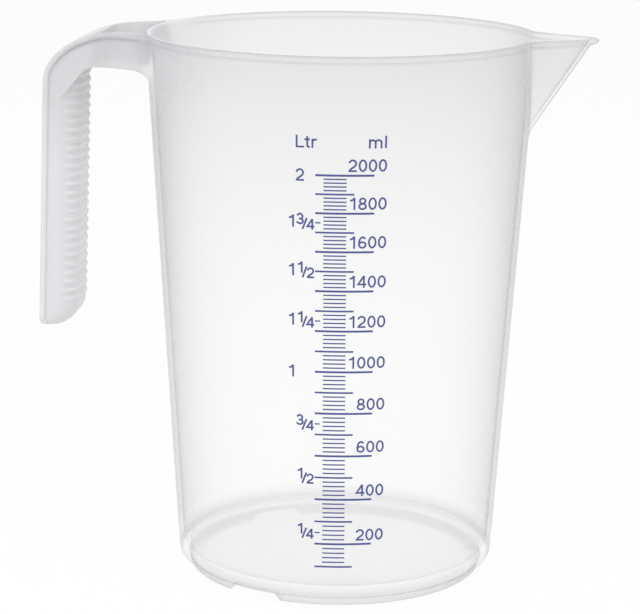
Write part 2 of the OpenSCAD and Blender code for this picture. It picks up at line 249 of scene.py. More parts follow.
class PlasticLook(bpy.types.PropertyGroup):
    """Translucent plastic"""

    wall_colour: colour("Wall colour", "Colour of the haze in the thin wall", (0.50, 0.49, 0.515))
    handle_colour: colour("Handle colour", "Colour of the thick handle", (0.82, 0.81, 0.83))
    # Painted shade: the arm and the bend are painted darker than the grip.
    arm_colour: colour("Arm colour", "Colour of the arm and the bend", (0.73, 0.73, 0.745))
    # Painted shade where the arm meets the wall.
    root_colour: colour("Root colour", "Colour where the arm meets the wall", (0.62, 0.625, 0.64))
    # Painted shade lines along the rail.
    rail_colour: colour("Rail colour", "Colour of the lines along the rail", (0.45, 0.45, 0.47))
    # Painted light: the floor's upper face is painted paler and hazier than the wall, for the light it
    # catches.
    floor_colour: colour("Floor colour", "Colour of the floor", (0.86, 0.845, 0.852))
    # Painted shade on the foot, the corner over it and the fillet inside, stronger edge on.
    foot_colour: colour("Foot colour", "Colour of the foot and the corner over it", (0.60, 0.59, 0.605))
    # Painted shade on the rim and in a line under the bead's shoulder.
    deep_colour: colour("Deep colour", "Colour where the plastic is seen along its depth", (0.42, 0.41, 0.44))
    # Painted shade along the spout's keel and at its drip lip, strongest edge on.
    keel_colour: colour("Keel colour", "Colour along the keel", (0.20, 0.20, 0.25))
    # Painted light: a pale haze on the cup's inside in front of the arm lightens the shaded pocket seen
    # through it.
    veil_colour: colour("Veil colour", "Colour of the cup's inside in front of the arm", (0.86, 0.86, 0.89))
    low_haze: share("Low haze", "How much light each surface of the wall scatters, low on the jug", 0.012)
    # Painted shade: the haze rises to this at the rim, darkening the wall towards the top.
    rim_haze: share("Rim haze", "The same at the rim", 0.13)
    edge_haze: share("Edge haze", "How much more is scattered where the wall is seen edge on", 0.49)
    band_haze: share("Band haze", "How much more again right at the outer edge", 0.13)
    line_haze: share("Line haze", "How much more again right at the inner edge", 0.42)
    handle_haze: share("Handle haze", "How much light the handle's surface scatters", 0.88)
    pocket_haze: share("Pocket haze", "The same round the pocket, where the arm is hollow", 0.58)
    # These hazes set how strongly the painted light and shade of the floor, foot, rim, keel and the cup's
    # inside in front of the arm show.
    floor_haze: share("Floor haze", "The same on the floor", 0.65)
    foot_haze: share("Foot haze", "The same on the foot", 0.5)
    deep_haze: share("Deep haze", "The same where the plastic is seen along its depth", 0.6)
    keel_haze: share("Keel haze", "The same along the keel", 0.8)
    veil_haze: share("Veil haze", "The same on the cup's inside in front of the arm", 0.7)
    roughness: share("Roughness", "Roughness of the satin surface", 0.32)


class InkLook(bpy.types.PropertyGroup):
    """Printed ink"""

    colour: colour("Colour", "Colour of the ink", (0.038, 0.054, 0.25))


class StageLook(bpy.types.PropertyGroup):
    """Floor, light and camera"""

    floor_colour: colour("Floor colour", "Colour of the plain floor", (0.86, 0.86, 0.86))
    floor_radius: length("Floor radius", "Radius of the floor", 6000)
    white_share: share("White share", "How much of the floor is plain white, the rest keeps the shadow", 0.93)
    sky: FloatProperty(name="Sky", description="Strength of the light from all round", default=0.62, min=0)
    lamp_power: FloatProperty(
        name="Lamp power", description="Power of each soft lamp", default=13, min=0, unit="POWER"
    )
    lamp_size: length("Lamp size", "Side of each soft lamp", 1400)
    eye: FloatVectorProperty(
        name="Eye", description="Where the camera stands", default=(0.0897, -0.8981, 0.3123), precision=4,
        subtype="XYZ", unit="LENGTH",
    )
    yaw: angle("Yaw", "Camera's turn to the left", 6.14)
    pitch: angle("Pitch", "Camera's tilt downwards", 13.208)
    roll: angle("Roll", "Camera's roll", 0.662)
    focal_length: FloatProperty(
        name="Focal length", description="Camera's focal length on a 36 mm sensor, in millimetres",
        default=135.56, subtype="DISTANCE_CAMERA",
    )


class JugSettings(bpy.types.PropertyGroup):
    """All that can be set on the measuring jug"""

    cup: PointerProperty(type=CupSizes)
    spout: PointerProperty(type=SpoutSizes)
    handle: PointerProperty(type=HandleSizes)
    scale: PointerProperty(type=ScaleSizes)
    plastic: PointerProperty(type=PlasticLook)
    ink: PointerProperty(type=InkLook)
    stage: PointerProperty(type=StageLook)


def arc(cx, cy, rx, ry, start, end, steps):
    """Points on an ellipse's arc, ends included. Angles are in degrees."""
    t = np.radians(np.linspace(start, end, steps + 1))
    return np.stack([cx + rx * np.cos(t), cy + ry * np.sin(t)], -1)


def round_row(r, turn, z):
    """Points round the axis, at radii, angles and heights."""
    return np.column_stack([r * np.cos(turn), r * np.sin(turn), np.broadcast_to(z, turn.shape)])


def smooth(t):
    """The smooth step from 0 to 1."""
    t = np.clip(t, 0, 1)
    return t * t * (3 - 2 * t)


def rise(distance, start, run):
    """The smooth step of a distance, from a start over a run that are both in millimetres."""
    return smooth((distance / MM - start) / run)


def line_near(distance, width):
    """A soft line where a distance is 0, with a width in millimetres."""
    return np.exp(-((distance / (width * MM)) ** 2))


def at_least(least, part):
    """A part from 0 to 1, raised so that it starts at a least value."""
    return least + (1 - least) * part


class CupForm:
    """The cup as a net of rows and columns, with the sizes that follow from its settings."""

    SPOUT_COLUMNS = 28
    SIDE_SHARE = 0.75
    PLAIN_COLUMNS = 200
    WALL_ROWS = 34
    SPOUT_ROWS = 30
    EDGE_STEPS = 3
    CORNER_STEPS = 10
    BEAD_STEPS = 10
    LIP_STEPS = 5
    FILLET_STEPS = 8
    UNDER_SHARES = (0.3, 0.6, 0.9, 1)
    FLOOR_SHARES = (1, 0.97, 0.6, 0.3)
    FAN_OUT = 70 * MM

    def __init__(self, jug):
        self.cup, self.spout = jug.cup, jug.spout
        cup, spout = self.cup, self.spout
        self.slope = (cup.rim_radius - cup.base_radius) / cup.height
        self.slant = math.hypot(1, self.slope)
        self.tilt = math.degrees(math.atan(self.slope))
        self.keel_z = cup.height - spout.keel_drop
        self.spout_half = spout.side_angle + spout.margin
        self.corner_z = cup.sole + cup.corner_radius
        self.corner_x = self.cone(self.corner_z) - cup.corner_radius * self.slant
        self.floor_z = cup.foot_height + cup.floor
        self.fillet_z = self.floor_z + cup.fillet_radius
        self.fillet_x = self.cone(self.fillet_z) - cup.wall - cup.fillet_radius * self.slant
        self.foot_radius = self.corner_x - cup.foot_ledge
        self.foot_inner = self.foot_radius - cup.foot_wall

    def cone(self, z):
        """Outside radius of the wall at a height."""
        return self.cup.base_radius + self.slope * z

    def keel_share(self, z):
        """0 below the keel, rising to 1 at the rim, with a soft bend at the keel's foot."""
        blend = self.spout.keel_blend
        above = np.asarray(z) - self.keel_z
        soft = np.where(above < blend, np.clip(above + blend, 0, None) ** 2 / (4 * blend), above)
        return soft / self.spout.keel_drop

    def side_angle(self, z):
        """Angle from the middle to where the spout's side runs out, at a height."""
        up = np.clip((np.asarray(z) - self.keel_z) / self.spout.keel_drop, 0, None)
        return self.spout.keel_angle + (self.spout.side_angle - self.spout.keel_angle) * up

    def side_out(self, s):
        """How far the spout's side stands out at a share of its angle: 1 in the middle, 0 at its end."""
        tip, run = self.spout.tip_share, self.spout.run_out_share
        steep = 1 / (1 - run / 2 - tip / 2)
        line = steep * (1 - run / 2 - s)
        rounded = 1 - steep * s**2 / (2 * tip)
        fading = steep * np.clip(1 - s, 0, None) ** 2 / (2 * run)
        return np.where(s > 1 - run, fading, np.where(s > tip, line, rounded))

    def column_angles(self, z):
        """Angles of all columns at a height. They crowd to the keel and spread evenly lower down."""
        u = np.linspace(-1, 1, 2 * self.SPOUT_COLUMNS + 1)
        side = float(self.side_angle(z))
        past = (np.abs(u) - self.SIDE_SHARE) / (1 - self.SIDE_SHARE)
        beside = side + (self.spout_half - side) * past
        shaped = np.where(past < 0, side * np.abs(u) / self.SIDE_SHARE, beside)
        even = smooth((self.keel_z - z) / self.FAN_OUT)
        fan = np.sign(u) * shaped * (1 - even) + u * self.spout_half * even
        plain = np.linspace(self.spout_half, 2 * math.pi - self.spout_half, self.PLAIN_COLUMNS + 2)[1:-1]
        return np.concatenate([fan, plain])

    def from_middle(self, turn):
        """How far an angle lies from the spout's middle."""
        return np.abs((turn + math.pi) % (2 * math.pi) - math.pi)

    def radius(self, turn, z, inside=False):
        """Radius of the wall, spout included, at angles and a height."""
        side = self.side_angle(z)
        out = self.spout.out * self.keel_share(z)
        away = self.from_middle(turn)
        if not inside:
            return self.cone(z) + out * self.side_out(away / side)
        reach = np.maximum(0, out - self.spout.keel_wall + self.cup.wall)
        fit = 1
        if out > 0:
            fit = max(1 - self.spout.side_wall / float(out), self.spout.inside_least)
        return self.cone(z) - self.cup.wall + reach * self.side_out(away / (side * fit))

    def row(self, z, inside=False, bead=0, inset=0):
        """A row of points round the wall. The bead and an inset are measured square to it, in plan."""
        turn = self.column_angles(z)
        r = self.radius(turn, z, inside)
        plan = np.stack([r * np.cos(turn), r * np.sin(turn)], -1)
        run = np.roll(plan, -1, 0) - np.roll(plan, 1, 0)
        run /= np.linalg.norm(run, axis=1)[:, None]
        square = np.stack([run[:, 1], -run[:, 0]], -1)
        share_out = self.from_middle(turn) / self.side_angle(z)
        near_tip = np.clip(1 - share_out / self.spout.lip_share, 0, None)
        lip = 1 + self.spout.lip_out / self.cup.bead_out * near_tip
        plan = plan + square * (bead * lip + inset)[:, None]
        return np.column_stack([plan, np.full(len(plan), z)])

    def ring(self, r, z):
        """A plain round row low on the cup."""
        return round_row(r, self.column_angles(0), z)

    def foot_row(self, r, lift):
        """A row round the foot ring's lower face, raised into the notches, with columns on their corners."""
        cup = self.cup
        turn = self.column_angles(0)
        roof = cup.sole - cup.notch_step
        z = np.full(len(turn), lift)
        for i in range(cup.notches):
            middle = cup.notch_turn + 2 * math.pi * i / cup.notches
            off = (turn - middle + math.pi) % (2 * math.pi) - math.pi
            wide, narrow = (math.asin(w / 2 / r) for w in (cup.notch_width, cup.notch_roof))
            for edge in (-wide, -narrow, narrow, wide):
                k = int(np.argmin(np.abs(off - edge)))
                turn[k] = middle + edge
                off[k] = edge
            inside = np.clip((wide - np.abs(off)) / (wide - narrow), 0, 1)
            z = np.maximum(z, roof * inside)
        return round_row(r, turn, z)

    def rows(self):
        """All rows, from the floor's underside round the outside and over the rim to the floor inside."""
        cup = self.cup
        inner, outer, edge = self.foot_inner, self.foot_radius, cup.foot_edge
        rows = [self.ring(inner * s, cup.foot_height) for s in self.UNDER_SHARES]
        rows += [self.ring(inner, cup.sole)]
        inner_edge = arc(inner + edge, edge, edge, edge, 180, 270, self.EDGE_STEPS)
        outer_edge = arc(outer - edge, edge, edge, edge, 270, 360, self.EDGE_STEPS)
        rows += [self.foot_row(r, z) for r, z in (*inner_edge, *outer_edge)]
        rows += [self.ring(outer, cup.sole)]
        round_out = cup.corner_radius
        corner = arc(self.corner_x, self.corner_z, round_out, round_out, -90, -self.tilt, self.CORNER_STEPS)
        rows += [self.ring(r, z) for r, z in corner]
        shoulder = cup.height - cup.bead_height
        low = np.linspace(corner[-1][1], self.keel_z - self.spout.keel_blend, self.WALL_ROWS)[1:]
        high = np.linspace(low[-1], shoulder, self.SPOUT_ROWS)[1:]
        rows += [self.row(z) for z in (*low, *high)]
        half_bead = cup.bead_height / 2
        bead = arc(0, shoulder + half_bead, cup.bead_out, half_bead, -90, 90, self.BEAD_STEPS)[1:]
        rows += [self.row(z, bead=out) for out, z in bead]
        lip_edge = cup.rim_edge
        lip = arc(lip_edge, cup.height - lip_edge, lip_edge, lip_edge, 90, 180, self.LIP_STEPS)
        rows += [self.row(z, inside=True, inset=out) for out, z in lip]
        round_in = cup.fillet_radius
        fillet = arc(self.fillet_x, self.fillet_z, round_in, round_in, -self.tilt, -90, self.FILLET_STEPS)
        down = [z for z in (*high[::-1], *low[::-1]) if fillet[0][1] + MM < z < lip[-1][1] - MM]
        rows += [self.row(z, inside=True) for z in down]
        rows += [self.ring(r, z) for r, z in fillet]
        rows += [self.ring(inner * s, self.floor_z) for s in self.FLOOR_SHARES]
        return rows


@contextmanager
def reworked(mesh):
    """A mesh opened for editing, and written back at the end."""
    work = bmesh.new()
    work.from_mesh(mesh)
    yield work
    work.to_mesh(mesh)
    work.free()


def net_mesh(name, rows, closed_ends):
    """A mesh over rows of points, each closed on itself. An end is closed to a point, or flat for None."""
    rows = np.asarray(rows)
    count, width = rows.shape[:2]
    points = rows.reshape(-1, 3).tolist()
    faces = []
    for j in range(count - 1):
        for i in range(width):
            k = (i + 1) % width
            faces.append((j * width + i, j * width + k, (j + 1) * width + k, (j + 1) * width + i))
    for row, end in ((0, closed_ends[0]), (count - 1, closed_ends[1])):
        loop = [row * width + i for i in range(width)]
        if end is None:
            faces.append(loop)
            continue
        points.append(tuple(end))
        faces += [(loop[i], loop[(i + 1) % width], len(points) - 1) for i in range(width)]
    mesh = bpy.data.meshes.new(name)
    mesh.from_pydata(points, [], faces)
    with reworked(mesh) as work:
        bmesh.ops.recalc_face_normals(work, faces=work.faces)
    return mesh


class HookForm:
    """The handle as a loft of sections from the cup's wall round the bend and down the grip."""

    ARM_SECTIONS = 14
    BEND_SECTIONS = 30
    RIDGE_ROWS = 9
    FACE_STEPS = 6
    SIDE_STEPS = 8
    CORNER_STEPS = 10
    BEAD_STEPS = 8
    OUTER_STEPS = 40
    INNER_STEPS = 24
    STRAIGHT_STEPS = 8
    END_SECTIONS = 12
    POCKET_COLUMNS = 24
    CORE_COLUMNS = 240
    ROOT_DEPTH = 14 * MM
    ROOT_TURN = math.radians(75)
    RIDGE_FADE = (0.35, 0.4)
    CREASE_STEP = 0.12 * MM
    LEAST_FLAT = MM / 2

    def __init__(self, jug, cup_form):
        self.jug, self.cup_form = jug, cup_form
        h, cup = jug.handle, jug.cup
        self.top = cup.height
        self.out = cup.rim_radius + h.reach
        self.lean_run = math.tan(h.lean)
        self.bend_x = h.bend_run - self.out
        self.bend_z = self.top - h.bend_rise
        self.end_z = self.top - h.height
        self.under = self.top - h.arm_height
        touch = cup.rim_radius - cup.wall
        self.flare_y = h.width / 2 + h.flare_radius
        self.flare_x = -math.sqrt((touch + h.flare_radius) ** 2 - self.flare_y**2)
        self.root_z = self.under - h.root_radius
        foot_z = self.root_z + h.root_radius * math.sin(h.root_end)
        self.root_x = cup_form.cone(foot_z) - h.root_radius * math.cos(h.root_end)

    def outer_x(self, z):
        """The outer face of the leaning grip."""
        return -self.out - self.lean_run * (self.bend_z - z)

    def inner_x(self, z):
        """The inner face of the leaning grip."""
        return self.outer_x(z) + self.jug.handle.depth / math.cos(self.jug.handle.lean)

    def under_outer(self, x, z):
        """How far points lie inside the handle's outer face, in the side view."""
        h = self.jug.handle
        across, up = x - self.bend_x, z - self.bend_z
        share_out = np.hypot(across / h.bend_run, up / h.bend_rise)
        steep = np.hypot(across / h.bend_run**2, up / h.bend_rise**2) / share_out
        bend = np.where(up > 0, (1 - share_out) / steep, x - self.outer_x(z))
        return np.where(across > 0, self.top - z, bend)

    def half_width(self, x, grow=0.0):
        """Half the arm's width in plan, flaring to the wall."""
        along = np.clip(np.asarray(x) - self.flare_x, 0, None)
        r = self.jug.handle.flare_radius - grow
        return self.flare_y - np.sqrt(np.clip(r**2 - along**2, 0, None))

    def root_drop(self, x, y):
        """How far the fillet hangs below the arm's underside near the wall."""
        r = self.jug.handle.root_radius
        short = np.clip(self.root_x - np.hypot(x, y), 0, r * math.sin(self.ROOT_TURN))
        return r - np.sqrt(r**2 - short**2)

    def section(self, outer, inner, edge, ridge=0.0, heel=0.0, narrow=0.0, stretch=1.0):
        """A loop of points from the outer to the inner face and back, between two points of the side view.

        It can be cut back at the heel and narrowed. The stretch is that of a slanting section, for the rail.
        """
        cup = self.jug.cup
        outer, inner = np.asarray(outer, float), np.asarray(inner, float)
        depth = np.linalg.norm(inner - outer)
        along = (inner - outer) / depth

        def at(d):
            d = np.asarray(d)
            return outer + along * d[..., None]

        def half(d):
            return self.half_width(at(d)[..., 0]) - narrow

        rail = cup.bead_height * stretch
        bead = arc(heel + rail / 2, 0, rail / 2, cup.bead_out, 180, 0, self.BEAD_STEPS)
        face = np.linspace(0, 1, self.FACE_STEPS, endpoint=False)
        start = np.full(len(face), heel)
        flat = np.linspace(heel + rail, depth - edge, self.SIDE_STEPS)[1:-1]
        t = np.linspace(math.pi / 2, 0, self.CORNER_STEPS + 1)
        fade_start, fade_run = self.RIDGE_FADE
        swell = edge + ridge * smooth((np.cos(t) - fade_start) / fade_run)
        corner_d = depth - edge + swell * np.cos(t)
        corner_y = half(np.full(len(t), depth - edge)) - edge + swell * np.sin(t)
        inner_y = corner_y[-1] * (1 - face[1:])
        d = np.concatenate([start, bead[:, 0], flat, corner_d, np.full(len(inner_y), corner_d[-1])])
        bead_y = half(bead[:, 0]) + bead[:, 1]
        y = np.concatenate([face * half(start), bead_y, half(flat), corner_y, inner_y])
        side = at(d)
        points = np.column_stack([side[:, 0], y, side[:, 1]])
        low = np.clip(d / depth, 0, 1)
        points[:, 2] -= self.root_drop(points[:, 0], points[:, 1]) * low
        middle = at(np.array([corner_d[-1]]))[0]
        middle = np.array([[middle[0], 0, middle[1] - self.root_drop(middle[0], 0) * low[-1]]])
        other = points[1:][::-1] * (1, -1, 1)
        return np.concatenate([points, middle, other])

    def ridge_height(self, along):
        """Height of the ridges at a distance up the grip from its lower end."""
        h = self.jug.handle
        from_first = along - h.toe_radius - h.ridge_start
        phase = from_first % h.ridge_pitch
        crest = np.clip(1 - (2 * phase / h.ridge_width - 1) ** 2, 0, None) ** 0.5
        return h.ridge_out * crest if from_first > 0 else 0.0

    def crease(self):
        """Outer and inner end of the crease between arm and grip, in the side view."""
        h = self.jug.handle
        inner_z = self.under - h.seam_drop
        outer_z = inner_z - h.depth / math.cos(h.lean) * math.tan(h.seam_angle)
        return np.array([self.outer_x(outer_z), outer_z]), np.array([self.inner_x(inner_z), inner_z])

    def arm(self):
        """The arm and the outer bend, from inside the cup's wall to the crease."""
        h = self.jug.handle
        start = -self.jug.cup.rim_radius + self.ROOT_DEPTH
        rows = [
            self.section((x, self.top), (x, self.under), h.arm_edge)
            for x in np.linspace(start, self.bend_x, self.ARM_SECTIONS)
        ]
        crease_out, crease_in = self.crease()
        turn_z = self.under - h.inner_bend
        turn_x = self.inner_x(turn_z) + h.inner_bend
        bend_end = self.bend_z - MM
        outside = np.concatenate([
            arc(self.bend_x, self.bend_z, h.bend_run, h.bend_rise, 90, 180, self.OUTER_STEPS),
            np.linspace((self.outer_x(bend_end), bend_end), crease_out, self.STRAIGHT_STEPS),
        ])
        inside = np.concatenate([
            np.linspace((self.bend_x, self.under), (turn_x, self.under), self.STRAIGHT_STEPS),
            arc(turn_x, turn_z, h.inner_bend, h.inner_bend, 90, 180, self.INNER_STEPS)[1:],
        ])
        inside = np.concatenate([inside[inside[:, 1] > crease_in[1]], [crease_in]])
        steps = np.linspace(0, 1, self.BEND_SECTIONS)
        outer, inner = along_line(outside, steps), along_line(inside, steps)
        run = np.gradient(outer, axis=0)
        across = inner - outer
        turned = np.abs(run[:, 0] * across[:, 1] - run[:, 1] * across[:, 0])
        stretch = np.linalg.norm(run, axis=1) * np.linalg.norm(across, axis=1) / turned
        for o, i, s in zip(outer[1:], inner[1:], stretch[1:]):
            rows.append(self.section(o, i, h.arm_edge, stretch=s))
        return net_mesh("arm", rows, (None, None))

    def grip(self):
        """The grip with its ridges, cut off along the crease."""
        h = self.jug.handle
        down = np.array([-self.lean_run, -1.0]) / math.hypot(self.lean_run, 1)
        across = np.array([-down[1], down[0]])
        end = np.array([self.outer_x(self.end_z), self.end_z])
        crease_out, crease_in = self.crease()
        top = float((crease_in - end) @ -down) + h.ridge_pitch
        count = int((top - h.toe_radius) / h.ridge_pitch * self.RIDGE_ROWS)
        rows = []
        for along in np.linspace(top, h.toe_radius, count):
            o = end - down * along
            rows.append(self.section(o, o + across * h.depth, h.edge_radius, self.ridge_height(along)))
        for t in np.radians(np.linspace(0, 90, self.END_SECTIONS + 1)[1:]):
            up = h.toe_radius * (1 - math.sin(t))
            heel, narrow = (
                radius - math.sqrt(max(radius**2 - max(radius - up, 0) ** 2, 0))
                for radius in (h.heel_radius, h.end_radius)
            )
            depth = h.depth - h.toe_radius * (1 - math.cos(t))
            edge = min(h.edge_radius, depth - heel - self.jug.cup.bead_height - self.LEAST_FLAT)
            o = end - down * up
            rows.append(self.section(o, o + across * depth, edge, heel=heel, narrow=narrow))
        mesh = net_mesh("grip", rows, (None, None))
        along = crease_in - crease_out
        square = np.array([-along[1], along[0]]) / np.linalg.norm(along)
        place = crease_in + square * self.CREASE_STEP
        with reworked(mesh) as work:
            everything = [*work.verts, *work.edges, *work.faces]
            bmesh.ops.bisect_plane(
                work, geom=everything, plane_co=(place[0], 0, place[1]), plane_no=(square[0], 0, square[1]),
                clear_outer=True,
            )
            bmesh.ops.holes_fill(work, edges=[edge for edge in work.edges if edge.is_boundary], sides=0)
            bmesh.ops.recalc_face_normals(work, faces=work.faces)
        return mesh

    def pocket(self):
        """A cutter for the pocket in the arm's top, open towards the cup."""
        h, cup = self.jug.handle, self.jug.cup
        far, near = -cup.rim_radius - h.pocket_length, -cup.rim_radius + self.ROOT_DEPTH * 2
        xs = np.linspace(far, near, self.POCKET_COLUMNS)
        half = self.half_width(xs, -h.pocket_wall)
        plan = np.concatenate([np.column_stack([xs, half]), np.column_stack([xs, -half])[::-1]])
        floor_z = self.under + h.pocket_floor
        heights = floor_z, self.top + h.arm_height
        rows = [np.column_stack([plan, np.full(len(plan), z)]) for z in heights]
        return net_mesh("pocket_cutter", rows, (None, None))

    def core(self):
        """A cutter for what of the arm lies past the middle of the cup's wall."""
        cup = self.jug.cup
        turn = np.linspace(0, 2 * math.pi, self.CORE_COLUMNS, endpoint=False)
        heights = -cup.height, 2 * cup.height
        rows = [round_row(self.cup_form.cone(z) - cup.wall / 2, turn, z) for z in heights]
        return net_mesh("wall_core", rows, (None, None))


def along_line(points, shares):
    """Points at shares of a polyline's length."""
    run = np.concatenate([[0], np.cumsum(np.linalg.norm(np.diff(points, axis=0), axis=1))])
    return np.column_stack([np.interp(shares * run[-1], run, points[:, k]) for k in range(2)])


def new_object(name, mesh):
    """An object in the scene for a mesh."""
    made = bpy.data.objects.new(name, mesh)
    bpy.context.scene.collection.objects.link(made)
    return made


def combine(target, mesh, operation):
    """Joins a mesh to an object or cuts it from it, as an exact boolean."""
    tool = new_object("cutter", mesh)
    step = target.modifiers.new("combine", "BOOLEAN")
    step.operation, step.solver, step.object = operation, "EXACT", tool
    step.material_mode = "TRANSFER"
    ready = target.evaluated_get(bpy.context.evaluated_depsgraph_get())
    made = bpy.data.meshes.new_from_object(ready)
    target.modifiers.clear()
    old, target.data = target.data, made
    made.name = old.name
    bpy.data.objects.remove(tool)
    for used in (old, mesh):
        bpy.data.meshes.remove(used)


class Value:
    """A shader value that can be used in sums."""

    def __init__(self, nodes, socket):
        self.nodes, self.socket = nodes, socket

    def sum(self, operation, first, second):
        """The value of a Math node."""
        return self.nodes.add("Math", {"operation": operation}, {0: first, 1: second})

    def __add__(self, other):
        return self.sum("ADD", self, other)

    def __radd__(self, other):
        return self.sum("ADD", other, self)

    def __sub__(self, other):
        return self.sum("SUBTRACT", self, other)

    def __rsub__(self, other):
        return self.sum("SUBTRACT", other, self)

    def __mul__(self, other):
        return self.sum("MULTIPLY", self, other)

    def __rmul__(self, other):
        return self.sum("MULTIPLY", other, self)

    def __truediv__(self, other):
        return self.sum("DIVIDE", self, other)

    def __rtruediv__(self, other):
        return self.sum("DIVIDE", other, self)

    def __pow__(self, other):
        return self.sum("POWER", self, other)

    def __rpow__(self, other):
        return self.sum("POWER", other, self)

    def most(self, other):
        """The greater of two values."""
        return self.sum("MAXIMUM", self, other)


class Nodes:
    """A node tree that is filled node by node."""

    def __init__(self, tree):
        self.tree = tree
        tree.nodes.clear()

    def add(self, kind, settings=None, sockets=None, out=0):
        """Adds a node, sets it up, fills its sockets with values or links, and gives its output."""
        node = self.tree.nodes.new("ShaderNode" + kind)
        for name, setting in (settings or {}).items():
            setattr(node, name, setting)
        by_name = {socket.identifier: socket for socket in node.inputs}
        for name, content in (sockets or {}).items():
            socket = node.inputs[name] if isinstance(name, int) else by_name[name]
            if isinstance(content, Value):
                self.tree.links.new(content.socket, socket)
            elif socket.type == "RGBA" and len(content) == 3:
                socket.default_value = (*content, 1)
            else:
                socket.default_value = content
        if not node.outputs:
            return None
        outputs = {socket.identifier: socket for socket in node.outputs}
        return Value(self, node.outputs[out] if isinstance(out, int) else outputs[out])

    def mark(self, name):
        """A value that is kept at the points of a mesh."""
        return self.add("Attribute", {"attribute_name": name}, None, "Fac")

    def fade(self, value, start, end):
        """The smooth step of a value from a start to an end."""
        sockets = {"Value": value, "From Min": start, "From Max": end}
        return self.add("MapRange", {"interpolation_type": "SMOOTHSTEP"}, sockets)

    def noise(self, spot, fineness):
        """Soft noise from 0 to 1."""
        return self.add("TexNoise", None, {"Vector": spot, **fineness}, "Fac")

    def tone(self, part, first, second):
        """One colour or the other, by a part from 0 to 1."""
        sockets = {"Factor_Float": part, "A_Color": first, "B_Color": second}
        return self.add("Mix", {"data_type": "RGBA"}, sockets, "Result_Color")


def new_material(name):
    """An empty material and its nodes."""
    material = bpy.data.materials.new(name)
    material.use_nodes = True
    return material, Nodes(material.node_tree)


def satin(nodes, look, spot, tone, haze, depth=None):
    """Finishes a plastic: a satin surface with a faint grain, which shows its tone through a haze."""
    cloud = nodes.noise(spot, CLOUD) - 0.5
    bump = nodes.add("Bump", None, {**GRAIN_BUMP, "Height": nodes.noise(spot, GRAIN)})
    surface = nodes.add("BsdfPrincipled", None, {
        "Base Color": tone,
        "Roughness": look.roughness + CLOUD_ROUGHNESS * cloud,
        "Alpha": haze + CLOUD_HAZE * cloud,
        "Normal": bump,
        "IOR": PLASTIC_IOR,
        **(depth or {}),
    })
    nodes.add("OutputMaterial", None, {"Surface": surface})


def wall_plastic(jug):
    """Clear plastic with a little haze, more edge on. Painted shade darkens it towards the rim, and the
    marked zones paint light and shade on it.
    """
    look = jug.plastic
    material, nodes = new_material("clear_plastic")
    spot = nodes.add("TexCoord", out="Object")
    height = nodes.add("SeparateXYZ", None, {"Vector": spot}, "Z") / jug.cup.height
    edge = nodes.add("LayerWeight", None, {"Blend": 0.5}, "Facing")
    outside, veil = nodes.mark("outside"), nodes.mark("veil")
    band, line = nodes.fade(edge, *BAND_EDGE), nodes.fade(edge, *LINE_EDGE)
    # Painted shade: the edge haze grows with height, and below the haze rises towards the rim.
    edges = look.edge_haze * edge**EDGE_POWER * (EDGE_AT_FOOT + EDGE_SHADE_GROWTH * height)
    edges = edges + look.band_haze * band * outside + look.line_haze * line * (1 - outside)
    edges = edges * at_least(CORNER_LEAST, nodes.fade(height, *CORNER_HEIGHT)) * (1 - PAINTED_LIGHT_CLEARS * veil)
    haze = look.low_haze + (look.rim_haze - look.low_haze) * height**TOP_SHADE_POWER + edges
    tone = look.wall_colour
    # Painted light on the floor's upper face and on the cup's inside in front of the arm; painted shade on
    # the foot, the rim, the bead's shoulder and the keel.
    zones = {
        "floor": nodes.mark("floor"),
        "foot": nodes.mark("foot") * at_least(FOOT_LEAST, edge),
        "deep": nodes.mark("deep"),
        "keel": nodes.mark("keel") * edge**KEEL_POWER,
        "veil": veil * edge * (1 - outside),
    }
    for zone, part in zones.items():
        haze = haze + part * (getattr(look, zone + "_haze") - haze)
        tone = nodes.tone(part, tone, getattr(look, zone + "_colour"))
    satin(nodes, look, spot, tone, haze)
    return material


def handle_plastic(jug):
    """The same plastic where it is thick and so milky, clearer round the pocket, with painted shade on arm,
    root and rail.
    """
    look = jug.plastic
    material, nodes = new_material("milky_plastic")
    spot = nodes.add("TexCoord", out="Object")
    out = -1 * nodes.add("SeparateXYZ", None, {"Vector": spot}, "X")
    height = nodes.add("SeparateXYZ", None, {"Vector": spot}, "Z") / jug.cup.height
    pocket_end = jug.cup.rim_radius + jug.handle.pocket_length
    solid = nodes.fade(out, *(pocket_end + place for place in POCKET_FADE))
    # Painted shade: the arm and the bend are painted darker than the grip, with a random mottle over the
    # change.
    arm = nodes.fade(height, *ARM_HEIGHT) + MOTTLE_TONE * (nodes.noise(spot, MOTTLE) - 0.5)
    tone = nodes.tone(arm, look.handle_colour, look.arm_colour)
    # Painted shade where the arm meets the wall.
    tone = nodes.tone(nodes.mark("root"), tone, look.root_colour)
    # Painted shade lines along the rail.
    tone = nodes.tone(nodes.mark("rail"), tone, look.rail_colour)
    haze = look.pocket_haze + (look.handle_haze - look.pocket_haze) * solid
    haze = haze * (1 - THIN_CLEARS * nodes.mark("thin"))
    satin(nodes, look, spot, tone, haze, MILKY_DEPTH)
    return material


def ink_material(jug):
    """Matt printed ink with a slightly uneven coat."""
    look = jug.ink
    material, nodes = new_material("printed_ink")
    patch = nodes.noise(nodes.add("TexCoord", out="Object"), PATCH)
    pale = tuple(at_least(c, INK_PALE) for c in look.colour)
    surface = nodes.add("BsdfPrincipled", None, {
        "Base Color": nodes.tone(patch, look.colour, pale),
        "Roughness": INK_ROUGHNESS + PATCH_ROUGHNESS * patch,
    })
    nodes.add("OutputMaterial", None, {"Surface": surface})
    return material


def seen(nodes):
    """1 for rays that come from the camera, a gloss or a see-through surface, else 0."""
    rays = ("Is Camera Ray", "Is Glossy Ray", "Is Transmission Ray")
    camera, gloss, through = (nodes.add("LightPath", out=ray) for ray in rays)
    return camera.most(gloss).most(through)


